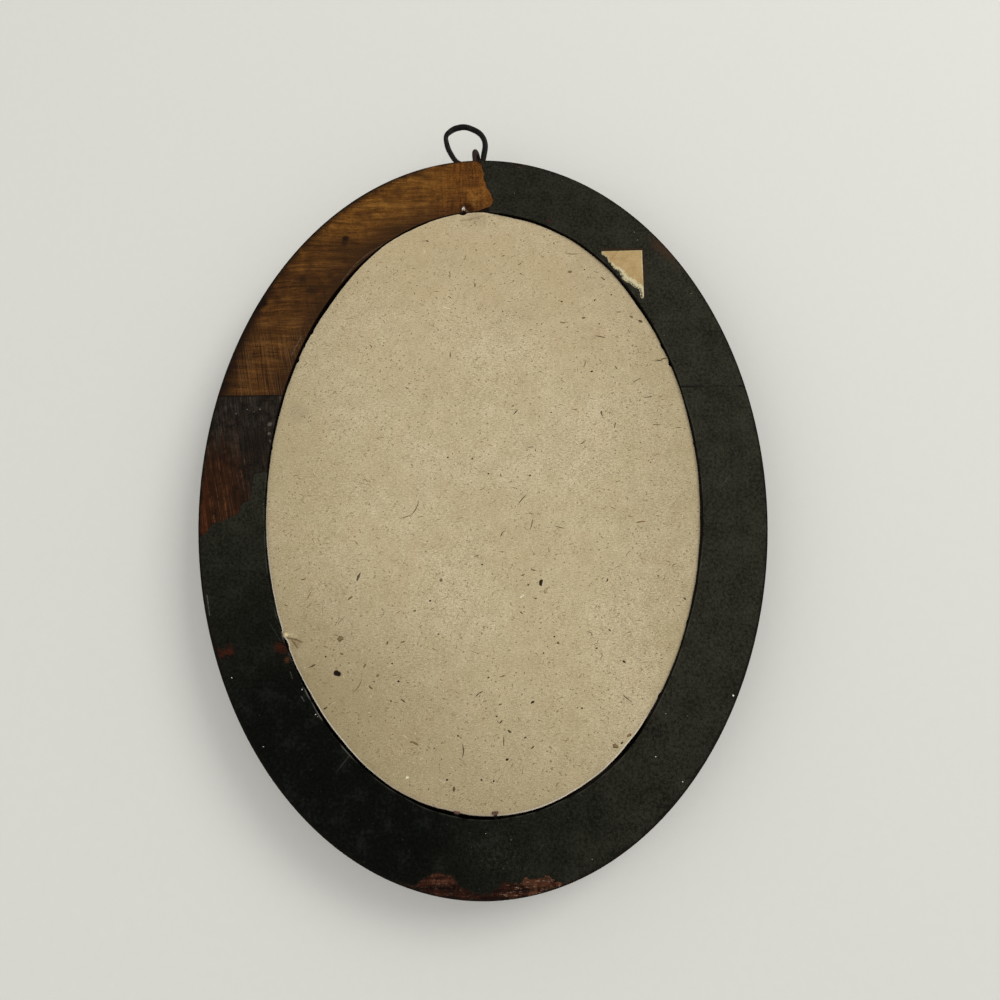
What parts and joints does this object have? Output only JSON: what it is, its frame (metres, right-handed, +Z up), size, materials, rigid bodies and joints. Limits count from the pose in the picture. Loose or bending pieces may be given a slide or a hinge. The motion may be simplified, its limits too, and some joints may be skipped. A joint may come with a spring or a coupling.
{
  "type": "oval wall picture frame",
  "caption": "Oval wooden picture frame with a moulded front, glass, backing board and torn backing paper, hung by a wire ring that swings in a staple at the top.",
  "frame": {"origin": "middle of the oval, on the plane of the wall: the back of the backing paper", "axes": "+Z up along the oval's height, +Y into the wall, +X to the right as seen from the front; the moulded front faces -Y"},
  "size_m": [0.17, 0.0173, 0.2416],
  "materials": {
    "wood": "dark stained, bare and worn at the back",
    "gilt": "old gilding, satin",
    "glass": "clear, flat",
    "card": "blank, cream",
    "board": "flecked grey-brown board, matte",
    "backing_paper": "dark, mottled, torn",
    "label_paper": "aged tan, torn",
    "brad_steel": "rusted",
    "staple_wire": "rusted",
    "ring_wire": "black iron, worn"
  },
  "bodies": {
    "frame": {"top_segment": "wood", "right_segment": "wood", "bottom_segment": "wood", "left_segment": "wood", "gilt_slip": "gilt", "glass_pane": "glass", "picture_card": "card", "backing_board": "board", "backing_paper": "backing_paper", "label_corner": "label_paper", "backing_brads": "brad_steel", "bent_brad": "brad_steel", "hanger_staple": "staple_wire"},
    "ring": {"hanging_ring": "ring_wire"}
  },
  "joints": [
    {"name": "ring_swing", "type": "hinge", "parent": "frame", "child": "ring", "pos_m": [0.0015, -0.0042, 0.11472], "axis": [1, 0, 0], "range_deg": [-78, 106]}
  ]
}
